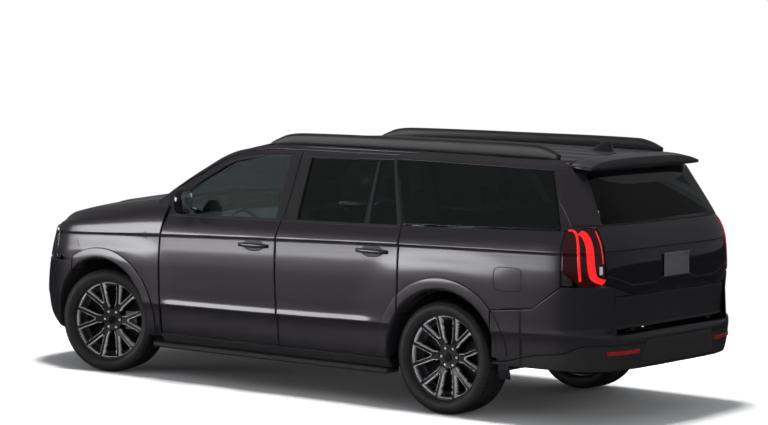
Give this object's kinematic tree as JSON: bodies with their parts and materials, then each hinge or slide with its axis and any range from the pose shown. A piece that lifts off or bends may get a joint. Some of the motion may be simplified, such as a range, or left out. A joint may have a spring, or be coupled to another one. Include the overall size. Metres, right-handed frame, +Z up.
{
  "type": "sport utility vehicle",
  "caption": "Large estate-bodied off-road car with side doors, hood, split rear gate, steered front wheels and a furnished cabin.",
  "frame": {"origin": "on the ground under the middle of the car's length and width", "axes": "+X forward, +Y to the car's left, +Z up"},
  "size_m": [5.636, 2.367, 1.9269],
  "materials": {
    "paint": "dark metallic",
    "glass_dark": "tinted",
    "glass_light": "lightly tinted",
    "trim_black": "gloss",
    "plastic_dark": "matt",
    "lamp_red": "clear over red",
    "lamp_clear": "clear",
    "tyre": "matt",
    "rim": "dark with machined edges",
    "steel_dark": "painted black",
    "engine": "bare",
    "exhaust": "dull",
    "seat": "matt"
  },
  "bodies": {
    "body": {"body_sides": "paint", "glass_quarter": "glass_dark", "roof": "paint", "windscreen": "glass_light", "fenders": "paint", "bumper_front": "paint", "grille": "trim_black", "headlamps": "lamp_clear", "bumper_rear": "paint", "tail_lamps": "lamp_red", "frame": "steel_dark", "powertrain": "engine", "rear_axle": "steel_dark", "floor": "plastic_dark", "cowl": "plastic_dark", "dashboard": "plastic_dark", "steering_wheel": "plastic_dark", "seats_front": "seat", "seats_second": "seat", "seats_third": "seat", "exhaust": "exhaust", "fuel_tank": "plastic_dark", "roof_rails": "trim_black", "running_boards": "plastic_dark", "arch_liners": "plastic_dark"},
    "door_front_left": {"door_front_left": "paint", "glass_front_left": "glass_light", "mirror_left": "trim_black"},
    "door_rear_left": {"door_rear_left": "paint", "glass_rear_left": "glass_dark"},
    "knuckle_left": {"knuckle_left": "steel_dark"},
    "wheel_front_left": {"tyre_front_left": "tyre", "rim_front_left": "rim"},
    "wheel_rear_left": {"tyre_rear_left": "tyre", "rim_rear_left": "rim"},
    "door_front_right": {"door_front_right": "paint", "glass_front_right": "glass_light", "mirror_right": "trim_black"},
    "door_rear_right": {"door_rear_right": "paint", "glass_rear_right": "glass_dark"},
    "knuckle_right": {"knuckle_right": "steel_dark"},
    "wheel_front_right": {"tyre_front_right": "tyre", "rim_front_right": "rim"},
    "wheel_rear_right": {"tyre_rear_right": "tyre", "rim_rear_right": "rim"},
    "hood": {"hood": "paint"},
    "liftgate": {"liftgate": "paint", "glass_liftgate": "glass_dark"},
    "tailgate": {"tailgate": "paint"}
  },
  "joints": [
    {"name": "door_front_left_hinge", "type": "hinge", "parent": "body", "child": "door_front_left", "pos_m": [1.206, 0.973, 0.76], "axis": [0, 0, -1], "range_deg": [0, 67]},
    {"name": "door_rear_left_hinge", "type": "hinge", "parent": "body", "child": "door_rear_left", "pos_m": [0.022, 0.973, 0.76], "axis": [0, 0, -1], "range_deg": [0, 67]},
    {"name": "door_front_right_hinge", "type": "hinge", "parent": "body", "child": "door_front_right", "pos_m": [1.206, -0.973, 0.76], "axis": [0, 0, 1], "range_deg": [0, 67]},
    {"name": "door_rear_right_hinge", "type": "hinge", "parent": "body", "child": "door_rear_right", "pos_m": [0.022, -0.973, 0.76], "axis": [0, 0, 1], "range_deg": [0, 67]},
    {"name": "hood_hinge", "type": "hinge", "parent": "body", "child": "hood", "pos_m": [1.45, 0, 1.33794], "axis": [0, -1, 0], "range_deg": [0, 50]},
    {"name": "liftgate_hinge", "type": "hinge", "parent": "body", "child": "liftgate", "pos_m": [-2.383, 0, 1.83973], "axis": [0, 1, 0], "range_deg": [0, 85]},
    {"name": "tailgate_hinge", "type": "hinge", "parent": "body", "child": "tailgate", "pos_m": [-2.745, 0, 0.7], "axis": [0, -1, 0], "range_deg": [0, 90]},
    {"name": "steer_left", "type": "hinge", "parent": "body", "child": "knuckle_left", "pos_m": [1.873, 0.77, 0.4075], "axis": [0, 0, 1], "range_deg": [-48, 22]},
    {"name": "spin_front_left", "type": "hinge", "parent": "knuckle_left", "child": "wheel_front_left", "pos_m": [1.85253, 0.85867, 0.4075], "axis": [-0.225, 0.9744, 0], "continuous": true},
    {"name": "spin_rear_left", "type": "hinge", "parent": "body", "child": "wheel_rear_left", "pos_m": [-1.47, 0.861, 0.4075], "axis": [0, 1, 0], "continuous": true},
    {"name": "steer_right", "type": "hinge", "parent": "body", "child": "knuckle_right", "pos_m": [1.873, -0.77, 0.4075], "axis": [0, 0, 1], "range_deg": [-48, 22]},
    {"name": "spin_front_right", "type": "hinge", "parent": "knuckle_right", "child": "wheel_front_right", "pos_m": [1.89347, -0.85867, 0.4075], "axis": [-0.225, 0.9744, 0], "continuous": true},
    {"name": "spin_rear_right", "type": "hinge", "parent": "body", "child": "wheel_rear_right", "pos_m": [-1.47, -0.861, 0.4075], "axis": [0, 1, 0], "continuous": true}
  ],
  "couplings": [
    {"joint": "steer_right", "follows": "steer_left", "ratio": 1}
  ]
}
